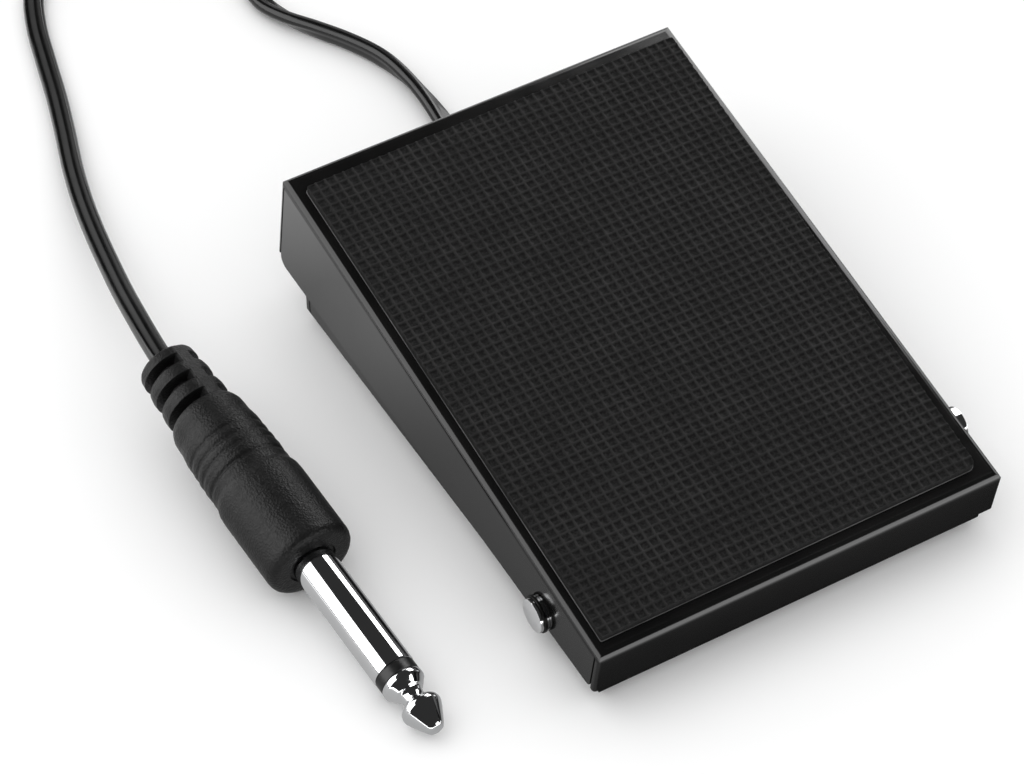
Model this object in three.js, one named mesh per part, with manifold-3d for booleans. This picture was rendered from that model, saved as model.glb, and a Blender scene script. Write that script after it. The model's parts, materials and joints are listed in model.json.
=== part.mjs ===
// Sustain pedal with a hinged sheet-steel treadle, in millimetres, +Z up.
// The pedal's own frame has x = 0 on its middle plane, y = 0 at the front top edge of the treadle
// and z = 0 on the floor; the whole part is then moved so that its box stands centred on the origin.
import * as THREE from "three";
import { mergeVertices } from "three/addons/utils/BufferGeometryUtils.js";
import Module from "manifold-3d";

const wasm = await Module();
wasm.setup();

// ---------------------------------------------------------------- driving dimensions
const SHEET = 0.9;                 // steel sheet of the treadle cover and of the base
const BEND = 1.3;                  // outer radius of the cover's folds
const BASE_BEND = 0.95;            // outer radius of the base's folds
const CORNER_GAP = 0.3;            // slit between two folded walls at an open corner
const GAP = 0.3;                   // clearance between neighbouring pieces
const RUNNING = 0.1;               // radial clearance of a turning fit

const COVER_WIDTH = 66.2;
const COVER_LENGTH = 91.4;         // along the slope
const COVER_TILT = THREE.MathUtils.degToRad(9.35);
const COVER_FRONT_Z = 11.92;       // height of the front top edge
const FRONT_FLANGE = 8.51;         // flange depths, square to the top
const REAR_FLANGE = 17.0;
const SIDE_FLANGE_REAR = 18.78;

// The mat is cut a little out of square: its corners on the slope, anticlockwise from the front left.
const MAT = {
  corners: [[-31.37, 2.47], [30.17, 2.7], [31.68, 88.24], [-30.91, 87.8]],
  rounds: [0.25, 1.2, 0.8, 0.6],
  low: 0.2,
  high: 1.2,
};
const ADHESIVE = { low: 0.03, high: 0.17, proud: 0.07 };

const BASE_BOTTOM = 0.7;
const BASE = { half: 31.57, front: 2.51, rear: 87.2, frontWall: 7.8, rearWall: 19.0, sideRear: 18.0 };

const HINGE = { y: 15.61, z: 5.94 };
const AXLE = { radius: 2.6, neck: 1.8, left: -34.54, right: 36.7, land: 0.5, groove: 0.65 };

const FOOT = { radius: 4.5, stem: 2.0, barb: 2.8, x: 24, y: [9, 80] };
const SPRING = { x: 21.5, y: 68, low: 2.5, high: 20.3, radius: 4.6, wire: 0.55, turns: 7 };
const SWITCH = { x: [-6.2, 0.2], y: [50, 69.8], z: [4.4, 14.6], screwY: [55.15, 64.65], screwZ: 7.3 };
const LEVER = { pivotY: 51.5, pivotZ: 15.0, length: 16, tilt: THREE.MathUtils.degToRad(14), touch: 14 };
const STOP = { y: [28, 36.4], deck: [8.2, 9.1], half: 9.0, flange: 5.2 };

const CABLE = { width: 3.4, thickness: 2.1, x: 4.0 };
const PLUG = { face: [-57.30, -7.16, 6.50], toTip: [0.059, -0.9909, -0.121], sleeve: 3.175 };

const CENTRE = new THREE.Vector3(-1.08, -46.18, 0);   // pedal frame to the part's own frame

// ---------------------------------------------------------------- finishes
const finish = (color, roughness, metalness) =>
  new THREE.MeshStandardMaterial({ color, roughness, metalness });
const PAINT = finish(0x101012, 0.22, 0.1);
const MAT_RUBBER = finish(0x1c1c1d, 0.75, 0);
const ADHESIVE_FILM = finish(0x4a4a48, 0.4, 0);
const RUBBER = finish(0x141414, 0.8, 0);
const CHROME = finish(0xd8dadc, 0.08, 1);
const ZINC = finish(0xa9abad, 0.35, 1);
const BLACK_STEEL = finish(0x1a1a1c, 0.4, 0.9);
const SPRING_STEEL = finish(0x8e9093, 0.3, 1);
const SWITCH_PLASTIC = finish(0x22252a, 0.5, 0);
const BUTTON_RED = finish(0x9a1f1c, 0.45, 0);
const BRASS = finish(0xb08d4a, 0.35, 1);
const PVC = finish(0x18181a, 0.45, 0);
const PLUG_PVC = finish(0x161617, 0.55, 0);
const INSULATOR = finish(0x0c0c0d, 0.4, 0);

// ---------------------------------------------------------------- solids and booleans
function toSolid(geometry) {
  let bare = geometry.clone();
  bare.deleteAttribute("normal");
  bare.deleteAttribute("uv");
  bare = mergeVertices(bare, 1e-5);
  const vertProperties = new Float32Array(bare.attributes.position.array);
  const triVerts = new Uint32Array(bare.index.array);
  return new wasm.Manifold(new wasm.Mesh({ numProp: 3, vertProperties, triVerts }));
}

function toGeometry(solid) {
  const mesh = solid.getMesh();
  const geometry = new THREE.BufferGeometry();
  geometry.setAttribute("position", new THREE.BufferAttribute(new Float32Array(mesh.vertProperties), 3));
  geometry.setIndex(new THREE.BufferAttribute(new Uint32Array(mesh.triVerts), 1));
  geometry.computeVertexNormals();
  return geometry;
}

function subtractAll(geometry, cutters) {
  let solid = toSolid(geometry);
  for (const cutter of cutters) {
    solid = solid.subtract(toSolid(cutter));
  }
  return toGeometry(solid);
}

function shapeOf(points) {
  return new THREE.Shape(points.map(([a, b]) => new THREE.Vector2(a, b)));
}

// Points of an arc about (cx, cy), both ends included; angles in degrees.
function arc(cx, cy, radius, from, to, steps = 8) {
  const points = [];
  for (let i = 0; i <= steps; i++) {
    const a = THREE.MathUtils.degToRad(from + ((to - from) * i) / steps);
    points.push([cx + radius * Math.cos(a), cy + radius * Math.sin(a)]);
  }
  return points;
}

// A convex outline, anticlockwise, with each corner rounded by its own radius.
function roundedOutline(corners, radii) {
  const outline = [];
  corners.forEach(([x, y], i) => {
    const at = new THREE.Vector2(x, y);
    const before = new THREE.Vector2(...corners.at(i - 1)).sub(at);
    const after = new THREE.Vector2(...corners[(i + 1) % corners.length]).sub(at);
    const half = Math.acos(before.normalize().dot(after.normalize())) / 2;
    const inwards = before.clone().add(after).normalize();
    const centre = at.clone().addScaledVector(inwards, radii[i] / Math.sin(half));
    const towards = THREE.MathUtils.radToDeg(Math.atan2(-inwards.y, -inwards.x));
    const sweep = 90 - THREE.MathUtils.radToDeg(half);
    outline.push(...arc(centre.x, centre.y, radii[i], towards - sweep, towards + sweep, 4));
  });
  return outline;
}

// An outline in (y, z) drawn out along x.
function alongX(points, x0, x1) {
  const geometry = new THREE.ExtrudeGeometry(shapeOf(points), { depth: x1 - x0, bevelEnabled: false });
  const basis = new THREE.Matrix4().makeBasis(
    new THREE.Vector3(0, 1, 0), new THREE.Vector3(0, 0, 1), new THREE.Vector3(1, 0, 0));
  return geometry.applyMatrix4(basis).translate(x0, 0, 0);
}

// An outline in (x, z) drawn out along y.
function alongY(points, y0, y1) {
  const geometry = new THREE.ExtrudeGeometry(shapeOf(points), { depth: y1 - y0, bevelEnabled: false });
  return geometry.rotateX(Math.PI / 2).translate(0, y1, 0);
}

// An outline in (x, y) drawn out along z.
function alongZ(points, z0, z1) {
  const geometry = new THREE.ExtrudeGeometry(shapeOf(points), { depth: z1 - z0, bevelEnabled: false });
  return geometry.translate(0, 0, z0);
}

function block(x0, x1, y0, y1, z0, z1) {
  const geometry = new THREE.BoxGeometry(x1 - x0, y1 - y0, z1 - z0);
  return geometry.translate((x0 + x1) / 2, (y0 + y1) / 2, (z0 + z1) / 2);
}

// A turned piece about the z axis from [radius, height] points that begin and end on the axis.
function turned(profile, segments = 24) {
  const points = profile.map(([r, h]) => new THREE.Vector2(r, h));
  return new THREE.LatheGeometry(points, segments).rotateX(Math.PI / 2);
}

function rod(radius, z0, z1, segments = 24) {
  return turned([[0, z0], [radius, z0], [radius, z1], [0, z1]], segments);
}

function rodX(radius, x0, x1, y, z, segments = 24) {
  return rod(radius, x0, x1, segments).rotateY(Math.PI / 2).translate(0, y, z);
}

function rodZ(radius, x, y, z0, z1, segments = 24) {
  return rod(radius, z0, z1, segments).translate(x, y, 0);
}

function washerX(inner, outer, x0, x1, y, z, segments = 24) {
  const ring = [[inner, x0], [outer, x0], [outer, x1], [inner, x1], [inner, x0]];
  return turned(ring, segments).rotateY(Math.PI / 2).translate(0, y, z);
}

// ---------------------------------------------------------------- scene graph
const sustainPedal = new THREE.Group();
const pedal = new THREE.Group();
pedal.position.copy(CENTRE);
sustainPedal.add(pedal);

const slope = new THREE.Group();           // frame of the treadle top: y up the slope, z square to it
slope.position.set(0, 0, COVER_FRONT_Z);
slope.rotation.x = COVER_TILT;
pedal.add(slope);

const cords = new THREE.Group();           // pieces placed in the part's own frame
sustainPedal.add(cords);

function place(parent, name, geometry, material) {
  const mesh = new THREE.Mesh(geometry, material);
  mesh.name = name;
  parent.add(mesh);
  return mesh;
}

// Height of the underside of the treadle top above the floor at y.
function undersideZ(y) {
  return COVER_FRONT_Z + y * Math.tan(COVER_TILT) - SHEET / Math.cos(COVER_TILT);
}

// The hinge line, seen in the slope's frame.
function hingeOnSlope() {
  const up = HINGE.z - COVER_FRONT_Z;
  const y = HINGE.y * Math.cos(COVER_TILT) + up * Math.sin(COVER_TILT);
  const z = -HINGE.y * Math.sin(COVER_TILT) + up * Math.cos(COVER_TILT);
  return { y, z };
}

// ---------------------------------------------------------------- treadle cover
// A folded strip: a flat web with a wall turned down at each end, as an outline of the sheet.
function foldedDown(from, to, wallFrom, wallTo) {
  const inner = BEND - SHEET;
  return [
    [from, -wallFrom],
    ...arc(from + BEND, -BEND, BEND, 180, 90),
    ...arc(to - BEND, -BEND, BEND, 90, 0),
    [to, -wallTo],
    [to - SHEET, -wallTo],
    ...arc(to - BEND, -BEND, inner, 0, 90),
    ...arc(from + BEND, -BEND, inner, 90, 180),
    [from + SHEET, -wallFrom],
  ];
}

function treadleCover() {
  const half = COVER_WIDTH / 2;
  const sideFrom = SHEET + CORNER_GAP;
  const sideTo = COVER_LENGTH - SHEET - CORNER_GAP;
  const envelope = alongY([
    [-half, -30],
    ...arc(-half + BEND, -BEND, BEND, 180, 90),
    ...arc(half - BEND, -BEND, BEND, 90, 0),
    [half, -30],
  ], -1, COVER_LENGTH + 1);
  const plan = roundedOutline([[-half, 0], [half, 0], [half, COVER_LENGTH], [-half, COVER_LENGTH]],
    [0.5, 0.5, 0.9, 0.9]);
  const ends = toSolid(alongX(foldedDown(0, COVER_LENGTH, FRONT_FLANGE, REAR_FLANGE), -half, half))
    .intersect(toSolid(envelope))
    .intersect(toSolid(alongZ(plan, -30, 1)));

  const fall = (SIDE_FLANGE_REAR - FRONT_FLANGE) / COVER_LENGTH;
  const lowAt = (y) => -FRONT_FLANGE - fall * y;
  const rearRound = 1.6;
  const frontRound = 0.8;
  const sideOutline = alongX([
    [sideFrom, 1],
    [sideFrom, lowAt(sideFrom) + frontRound],
    ...arc(sideFrom + frontRound, lowAt(sideFrom) + frontRound, frontRound, 180, 264, 4),
    ...arc(sideTo - rearRound, lowAt(sideTo) + rearRound + 0.1, rearRound, 264, 360, 5),
    [sideTo, 1],
  ], -half - 1, half + 1);
  const sides = toSolid(alongY(foldedDown(-half, half, SIDE_FLANGE_REAR + 1, SIDE_FLANGE_REAR + 1),
    sideFrom, sideTo)).intersect(toSolid(sideOutline));

  const hinge = hingeOnSlope();
  const axleHoles = rodX(AXLE.radius + RUNNING, -half - 1, half + 1, hinge.y, hinge.z, 32);
  return toGeometry(ends.add(sides).subtract(toSolid(axleHoles)));
}
place(slope, "treadle_cover", treadleCover(), PAINT);

// ---------------------------------------------------------------- rubber mat
// The mat's outline with each corner moved outwards, in x and y, by proud.
function matOutline(proud) {
  const corners = MAT.corners.map(([x, y]) =>
    [x + Math.sign(x) * proud, y + Math.sign(y - COVER_LENGTH / 2) * proud]);
  return roundedOutline(corners, MAT.rounds);
}
place(slope, "mat_adhesive", alongZ(matOutline(ADHESIVE.proud), ADHESIVE.low, ADHESIVE.high), ADHESIVE_FILM);
place(slope, "rubber_mat", alongZ(matOutline(0), MAT.low, MAT.high), MAT_RUBBER);

// ---------------------------------------------------------------- base tray
// A folded strip with its walls turned up, for the base.
function foldedUp(from, to, bottom, topFrom, topTo) {
  const inner = BASE_BEND - SHEET;
  return [
    [from, topFrom],
    ...arc(from + BASE_BEND, bottom + BASE_BEND, BASE_BEND, 180, 270),
    ...arc(to - BASE_BEND, bottom + BASE_BEND, BASE_BEND, 270, 360),
    [to, topTo],
    [to - SHEET, topTo],
    ...arc(to - BASE_BEND, bottom + BASE_BEND, inner, 360, 270, 2),
    ...arc(from + BASE_BEND, bottom + BASE_BEND, inner, 270, 180, 2),
    [from + SHEET, topFrom],
  ];
}

const RIVET = { shank: 1.5, hole: 1.8 };
const RIVET_PLACES = [[-12.6, 32.2], [12.6, 32.2], [-10.8, 54], [-10.8, 66]];
const CLAMP_SCREW = { x: 9.4, y: 80.6 };

function baseChassis() {
  const { half, front, rear, frontWall, rearWall, sideRear } = BASE;
  const sideFrom = front + SHEET + CORNER_GAP;
  const sideTo = rear - SHEET - CORNER_GAP;
  const envelope = alongY([
    [-half, 40],
    ...arc(-half + BASE_BEND, BASE_BOTTOM + BASE_BEND, BASE_BEND, 180, 270),
    ...arc(half - BASE_BEND, BASE_BOTTOM + BASE_BEND, BASE_BEND, 270, 360),
    [half, 40],
  ], front - 1, rear + 1);
  const ends = toSolid(alongX(foldedUp(front, rear, BASE_BOTTOM, frontWall, rearWall), -half, half))
    .intersect(toSolid(envelope));
  const corner = 1.8;
  const sideOutline = alongX([
    [sideFrom, frontWall],
    [sideFrom, BASE_BOTTOM + corner],
    ...arc(sideFrom + corner, BASE_BOTTOM + corner - 0.01, corner, 190, 270, 4),
    ...arc(sideTo - corner, BASE_BOTTOM + corner - 0.01, corner, 270, 350, 4),
    [sideTo, BASE_BOTTOM + corner],
    [sideTo, sideRear],
  ], -half - 1, half + 1);
  const sides = toSolid(alongY(foldedUp(-half, half, BASE_BOTTOM, 30, 30), sideFrom, sideTo))
    .intersect(toSolid(sideOutline));

  const cutters = [rodX(AXLE.radius + RUNNING, -half - 1, half + 1, HINGE.y, HINGE.z, 32)];
  for (const x of [-FOOT.x, FOOT.x]) {
    for (const y of FOOT.y) {
      cutters.push(rodZ(FOOT.stem + GAP, x, y, BASE_BOTTOM - 1, BASE_BOTTOM + 2));
    }
  }
  for (const [x, y] of RIVET_PLACES) {
    cutters.push(rodZ(RIVET.hole, x, y, BASE_BOTTOM - 1, BASE_BOTTOM + 2, 16));
  }
  cutters.push(rodZ(1.3, CLAMP_SCREW.x, CLAMP_SCREW.y, BASE_BOTTOM - 1, BASE_BOTTOM + 2, 16));
  cutters.push(block(CABLE.x - 2.9, CABLE.x + 2.9, rear - 2, rear + 1, 2.8, 6.4));
  return cutters.reduce((solid, cutter) => solid.subtract(toSolid(cutter)), ends.add(sides));
}
place(pedal, "base_chassis", toGeometry(baseChassis()), PAINT);

// ---------------------------------------------------------------- rubber feet
function rubberFoot() {
  const { radius, stem, barb } = FOOT;
  return turned([
    [0, 0], [radius - 0.2, 0], [radius, 0.2], [radius, 0.45], [stem, 0.45],
    [stem, 1.9], [barb, 1.9], [barb, 2.4], [1.4, 3.2], [0, 3.2],
  ], 20);
}
const SIDES = [["left", -1], ["right", 1]];
for (const [side, sign] of SIDES) {
  for (const [end, y] of [["front", FOOT.y[0]], ["rear", FOOT.y[1]]]) {
    place(pedal, `foot_${end}_${side}`, rubberFoot(), RUBBER).position.set(sign * FOOT.x, y, 0);
  }
}

// ---------------------------------------------------------------- hinge axle and its retainers
function hingeAxle() {
  const { radius, neck, left, right, land, groove } = AXLE;
  const leftGroove = left + land;
  const rightGroove = COVER_WIDTH / 2 + 0.3;
  const edge = 0.2;
  return turned([
    [0, left], [radius - edge, left], [radius, left + edge], [radius, leftGroove],
    [neck, leftGroove], [neck, leftGroove + groove], [radius, leftGroove + groove],
    [radius, rightGroove], [neck, rightGroove], [neck, rightGroove + groove],
    [radius, rightGroove + groove], [radius, right - edge], [radius - edge, right], [0, right],
  ], 40).rotateY(Math.PI / 2).translate(0, HINGE.y, HINGE.z);
}
place(pedal, "hinge_axle", hingeAxle(), CHROME);

// The retaining clip is a flat open ring that snaps into the axle's groove.
function retainingClip(x0, x1) {
  const ring = washerX(AXLE.neck + 0.12, AXLE.radius + 0.25, x0, x1, 0, 0);
  const mouth = block(x0 - 1, x1 + 1, -1.3, 1.3, -5, -1);
  return subtractAll(ring, [mouth]);
}
const clipLeft = AXLE.left + AXLE.land + 0.12;
const clipRight = COVER_WIDTH / 2 + 0.42;
place(pedal, "retaining_clip_left", retainingClip(clipLeft, clipLeft + 0.4), BLACK_STEEL)
  .position.set(0, HINGE.y, HINGE.z);
place(pedal, "retaining_clip_right", retainingClip(clipRight, clipRight + 0.4), BLACK_STEEL)
  .position.set(0, HINGE.y, HINGE.z);

// Washers on the axle keep the cover's flanges off the base's walls.
for (const [side, sign] of SIDES) {
  const a = sign * (BASE.half + 0.12);
  const b = sign * (COVER_WIDTH / 2 - SHEET - 0.12);
  const washer = washerX(AXLE.radius + 0.15, 4.2, Math.min(a, b), Math.max(a, b), HINGE.y, HINGE.z);
  place(pedal, `hinge_washer_${side}`, washer, ZINC);
}

// ---------------------------------------------------------------- upper stop
// A hat-shaped bridge over the base's floor; the treadle's hook catches under its deck.
function stopBridge() {
  const { deck, half, flange } = STOP;
  const low = BASE_BOTTOM + SHEET + GAP;
  const out = half + SHEET;
  const tip = out + flange;
  const hat = alongY([
    [-tip, low], [-half, low], [-half, deck[0]], [half, deck[0]], [half, low], [tip, low],
    [tip, low + SHEET], [out, low + SHEET], [out, deck[1]], [-out, deck[1]],
    [-out, low + SHEET], [-tip, low + SHEET],
  ], STOP.y[0], STOP.y[1]);
  const holes = RIVET_PLACES.slice(0, 2).map(([x, y]) => rodZ(RIVET.hole, x, y, 0, 6, 16));
  return subtractAll(hat, holes);
}
place(pedal, "stop_bridge", stopBridge(), ZINC);

const HOOK = { half: 6, plate: [37.0, 37.9], toe: 31.0, low: 5.6 };
function stopHook() {
  const { half, plate, toe, low } = HOOK;
  const top = undersideZ(plate[0]) - 0.2;
  return alongX([
    [toe, low], [plate[1], low], [plate[1], top], [plate[0], top],
    [plate[0], low + SHEET], [toe, low + SHEET],
  ], -half, half);
}
place(pedal, "stop_hook", stopHook(), ZINC);
place(pedal, "stop_hook_pad", block(-5, 5, 31.3, 36.2, HOOK.low + SHEET + 0.2, STOP.deck[0] - 0.2), RUBBER);

// ---------------------------------------------------------------- lower stop
// Rubber channels pushed on to the rear wall's top edge.
function rearBuffer(x) {
  const y = BASE.rear - SHEET / 2;
  const wall = SHEET / 2 + GAP;
  const outer = wall + 0.9;
  const low = 16.0;
  const roof = BASE.rearWall + GAP;
  const top = 20.9;
  return alongX([
    [y - outer, low], [y - wall, low], [y - wall, roof], [y + wall, roof],
    [y + wall, low], [y + outer, low], [y + outer, top - 0.6], [y + outer - 0.6, top],
    [y - outer + 0.6, top], [y - outer, top - 0.6],
  ], x - 5, x + 5);
}
for (const [side, sign] of SIDES) {
  place(pedal, `rear_buffer_${side}`, rearBuffer(sign * 19), RUBBER);
}

// ---------------------------------------------------------------- return springs
class Helix extends THREE.Curve {
  constructor(radius, low, high, turns) {
    super();
    Object.assign(this, { radius, low, high, turns });
  }

  getPoint(t, target = new THREE.Vector3()) {
    const a = 2 * Math.PI * this.turns * t;
    const ends = 0.75 / this.turns;          // closed end turns lie flat
    const climb = THREE.MathUtils.clamp((t - ends) / (1 - 2 * ends), 0, 1);
    const z = this.low + (this.high - this.low) * climb;
    return target.set(this.radius * Math.cos(a), this.radius * Math.sin(a), z + t * 0.01);
  }
}

function ngon(radiusA, radiusB, sides) {
  const points = [];
  for (let i = 0; i < sides; i++) {
    const a = (2 * Math.PI * (i + 0.5)) / sides;
    points.push([radiusA * Math.cos(a), radiusB * Math.sin(a)]);
  }
  return shapeOf(points);
}

function returnSpring() {
  const { low, high, radius, wire, turns } = SPRING;
  const path = new Helix(radius, low + wire, high - wire - 0.01, turns);
  return new THREE.ExtrudeGeometry(ngon(wire, wire, 6), { steps: turns * 12, extrudePath: path });
}

function lowerSpringSeat() {
  const low = BASE_BOTTOM + SHEET + 0.15;
  return turned([[0, low], [6.2, low], [6.2, low + 0.5], [3.5, low + 0.5], [3.3, 5.4], [2.9, 5.8], [0, 5.8]]);
}

function upperSpringSeat() {
  const plane = undersideZ(SPRING.y) - 0.25;
  const lift = 7 * Math.tan(COVER_TILT);
  const body = turned([[0, 16.6], [2.9, 16.6], [3.3, 17.0], [3.5, 20.6], [6.2, 20.6], [6.2, 26], [0, 26]]);
  const above = alongX([[-7, plane - lift], [7, plane + lift], [7, 30], [-7, 30]], -8, 8);
  return subtractAll(body, [above]);
}

for (const [side, sign] of SIDES) {
  const x = sign * SPRING.x;
  place(pedal, `return_spring_${side}`, returnSpring(), SPRING_STEEL).position.set(x, SPRING.y, 0);
  place(pedal, `spring_seat_lower_${side}`, lowerSpringSeat(), ZINC).position.set(x, SPRING.y, 0);
  place(pedal, `spring_seat_upper_${side}`, upperSpringSeat(), ZINC).position.set(x, SPRING.y, 0);
}

// ---------------------------------------------------------------- snap-action switch
const BUTTON = { x: -3.0, y: 57.5 };
function switchBody() {
  const { x, y, z, screwY, screwZ } = SWITCH;
  const shell = block(x[0], x[1], y[0], y[1], z[0], z[1]);
  const cutters = screwY.map((sy) => rodX(1.25, x[0] - 1, x[1] + 1, sy, screwZ, 16));
  const buttonWell = block(BUTTON.x - 0.9, BUTTON.x + 0.9, BUTTON.y - 1.4, BUTTON.y + 1.4, 11.6, 16);
  return subtractAll(shell, [...cutters, buttonWell]);
}
place(pedal, "switch_body", switchBody(), SWITCH_PLASTIC);

const buttonTop = LEVER.pivotZ + (BUTTON.y - LEVER.pivotY) * Math.tan(LEVER.tilt) - 0.55;
place(pedal, "switch_button",
  block(BUTTON.x - 0.6, BUTTON.x + 0.6, BUTTON.y - 1.1, BUTTON.y + 1.1, 13.4, buttonTop), BUTTON_RED);

// A thin leaf, bent up from its pivot, with a small round at the end that the striker meets.
function switchLever() {
  const { pivotY, pivotZ, length, tilt } = LEVER;
  const thickness = 0.35;
  const leaf = alongX([
    [0, 0], [length - 1.6, 0], [length - 0.8, 0.5], [length, 0.35], [length, 0.7],
    [length - 0.8, 0.95], [length - 1.9, thickness], [0, thickness],
  ], -2.0, 2.0);
  return leaf.rotateX(tilt).translate(BUTTON.x, pivotY, pivotZ);
}
place(pedal, "switch_lever", switchLever(), SPRING_STEEL);

// The striker is a rubber block under the treadle that presses the lever.
function striker() {
  const y = LEVER.pivotY + LEVER.touch;
  const touchZ = LEVER.pivotZ + (LEVER.touch + 2.6) * Math.tan(LEVER.tilt) + 0.9;
  const half = 2.6;
  const nose = 0.8;
  return alongX([
    [y - half, touchZ + nose], [y - half + nose, touchZ], [y + half - nose, touchZ], [y + half, touchZ + nose],
    [y + half, undersideZ(y + half) - 0.2], [y - half, undersideZ(y - half) - 0.2],
  ], BUTTON.x - 3.2, BUTTON.x + 3.2);
}
place(pedal, "striker_pad", striker(), RUBBER);

// An angle bracket carries the switch by two through screws.
function switchBracket() {
  const wall = SWITCH.x[0] - GAP;
  const low = BASE_BOTTOM + SHEET + GAP;
  const angle = alongY([
    [wall, low], [wall, 13], [wall - SHEET, 13], [wall - SHEET, low + SHEET],
    [wall - 7.4, low + SHEET], [wall - 7.4, low],
  ], SWITCH.y[0] + 0.5, SWITCH.y[1] - 0.5);
  const cutters = SWITCH.screwY.map((y) => rodX(1.25, wall - 2, wall + 1, y, SWITCH.screwZ, 16));
  for (const [x, y] of RIVET_PLACES.slice(2)) {
    cutters.push(rodZ(RIVET.hole, x, y, 0, 6, 16));
  }
  return subtractAll(angle, cutters);
}
place(pedal, "switch_bracket", switchBracket(), ZINC);

function switchScrew() {
  const shankEnd = SWITCH.x[0] - 4.2;
  const head = SWITCH.x[1] + 0.15;
  return turned([
    [0, shankEnd], [0.7, shankEnd], [1.0, shankEnd + 0.3], [1.0, head], [1.9, head],
    [1.9, head + 0.7], [1.4, head + 1.3], [0, head + 1.3],
  ], 16).rotateY(Math.PI / 2);
}

function hexNutX(x0, x1, flats, bore) {
  const corner = flats / Math.sqrt(3);
  const points = [];
  for (let i = 0; i < 6; i++) {
    const a = (Math.PI * i) / 3;
    points.push([corner * Math.cos(a), corner * Math.sin(a)]);
  }
  return subtractAll(alongX(points, x0, x1), [rodX(bore, x0 - 1, x1 + 1, 0, 0, 16)]);
}

const nutFace = SWITCH.x[0] - GAP - SHEET - 0.15;
SWITCH.screwY.forEach((y, i) => {
  place(pedal, `switch_screw_${i + 1}`, switchScrew(), ZINC).position.set(0, y, SWITCH.screwZ);
  place(pedal, `switch_nut_${i + 1}`, hexNutX(nutFace - 1.6, nutFace, 4, 1.15), ZINC)
    .position.set(0, y, SWITCH.screwZ);
});

// Solder tags come out under the switch and turn towards the cable.
const TAGS = [["common", 52.6], ["normally_open", 60], ["normally_closed", 67.2]];
function solderTag(y) {
  return alongY([
    [-1.4, 3.1], [4.6, 3.1], [4.6, 3.5], [-1.0, 3.5], [-1.0, 4.2], [-1.4, 4.2],
  ], y - 1.2, y + 1.2);
}
for (const [name, y] of TAGS) {
  place(pedal, `switch_tag_${name}`, solderTag(y), BRASS);
}

// ---------------------------------------------------------------- rivets
function rivet() {
  const low = BASE_BOTTOM - 0.2;
  const top = BASE_BOTTOM + SHEET + GAP + SHEET + 0.15;
  return turned([
    [0, low - 0.35], [1.8, low - 0.35], [2.6, low - 0.1], [2.6, low], [RIVET.shank, low],
    [RIVET.shank, top], [2.6, top], [2.4, top + 0.5], [1.4, top + 0.9], [0, top + 0.9],
  ], 16);
}
const RIVET_NAMES = ["stop_rivet_left", "stop_rivet_right", "bracket_rivet_front", "bracket_rivet_rear"];
RIVET_PLACES.forEach(([x, y], i) => {
  place(pedal, RIVET_NAMES[i], rivet(), ZINC).position.set(x, y, 0);
});

// ---------------------------------------------------------------- cable entry, clamp and inner leads
// The bush is a flanged rubber sleeve for the flat cable, set in the rear wall's window.
function cableBush() {
  const outerY = BASE.rear + 0.2;
  const innerY = BASE.rear - SHEET - 0.2;
  const z = (2.8 + 6.4) / 2;
  const plate = (halfX, halfZ, y0, y1) =>
    toSolid(block(CABLE.x - halfX, CABLE.x + halfX, y0, y1, z - halfZ, z + halfZ));
  const bush = plate(3.7, 1.95, outerY, outerY + 1.6)
    .add(plate(2.6, 1.55, innerY - 0.5, outerY + 0.5))
    .add(plate(3.4, 1.9, innerY - 1.2, innerY));
  const bore = plate(1.95, 1.2, innerY - 3, outerY + 3);
  return toGeometry(bush.subtract(bore));
}
place(pedal, "cable_bush", cableBush(), RUBBER);

const INNER = { from: 76.0, to: 89.3, z: 4.6 };
place(pedal, "cable_inner",
  block(CABLE.x - 1.7, CABLE.x + 1.7, INNER.from, INNER.to, INNER.z - 1.05, INNER.z + 1.05), PVC);

// A saddle of sheet steel holds the cable down beside the screw.
function cableClamp() {
  const low = BASE_BOTTOM + SHEET + 0.2;
  const x0 = CABLE.x - 1.7 - GAP;
  const x1 = CABLE.x + 1.7 + GAP;
  const roof = INNER.z + 1.05 + 0.2;
  const tail = CLAMP_SCREW.x + 2.6;
  const t = 0.7;
  const saddle = alongY([
    [x0 - t, low], [x0, low], [x0, roof], [x1, roof], [x1, low], [tail, low],
    [tail, low + t], [x1 + t, low + t], [x1 + t, roof + t], [x0 - t, roof + t],
  ], CLAMP_SCREW.y - 2.5, CLAMP_SCREW.y + 2.5);
  return subtractAll(saddle, [rodZ(1.4, CLAMP_SCREW.x, CLAMP_SCREW.y, 0, 6, 16)]);
}
place(pedal, "cable_clamp", cableClamp(), ZINC);

function clampScrew() {
  const head = BASE_BOTTOM + SHEET + 0.2 + 0.7 + 0.15;
  return turned([
    [0, 0.3], [0.8, 0.3], [1.05, 0.6], [1.05, head], [2.1, head], [2.1, head + 0.6],
    [1.5, head + 1.3], [0, head + 1.3],
  ], 16);
}
place(pedal, "clamp_screw", clampScrew(), ZINC).position.set(CLAMP_SCREW.x, CLAMP_SCREW.y, 0);

// Two cores run from the cable's end to their tags.
function innerLead(points) {
  const path = new THREE.CatmullRomCurve3(points.map((p) => new THREE.Vector3(...p)));
  return new THREE.ExtrudeGeometry(ngon(0.5, 0.5, 6), { steps: 14, extrudePath: path });
}
place(pedal, "lead_common", innerLead([
  [4.9, 75.7, 4.4], [5.6, 72, 4.4], [6.9, 66, 4.5], [6.9, 58, 4.6], [5.6, 54, 4.5], [3.6, 52.6, 4.4],
]), PVC);
place(pedal, "lead_switched", innerLead([
  [3.1, 75.7, 4.6], [3.2, 72, 4.8], [4.2, 67, 4.9], [4.6, 63, 4.6], [3.4, 60, 4.4],
]), PVC);

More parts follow.
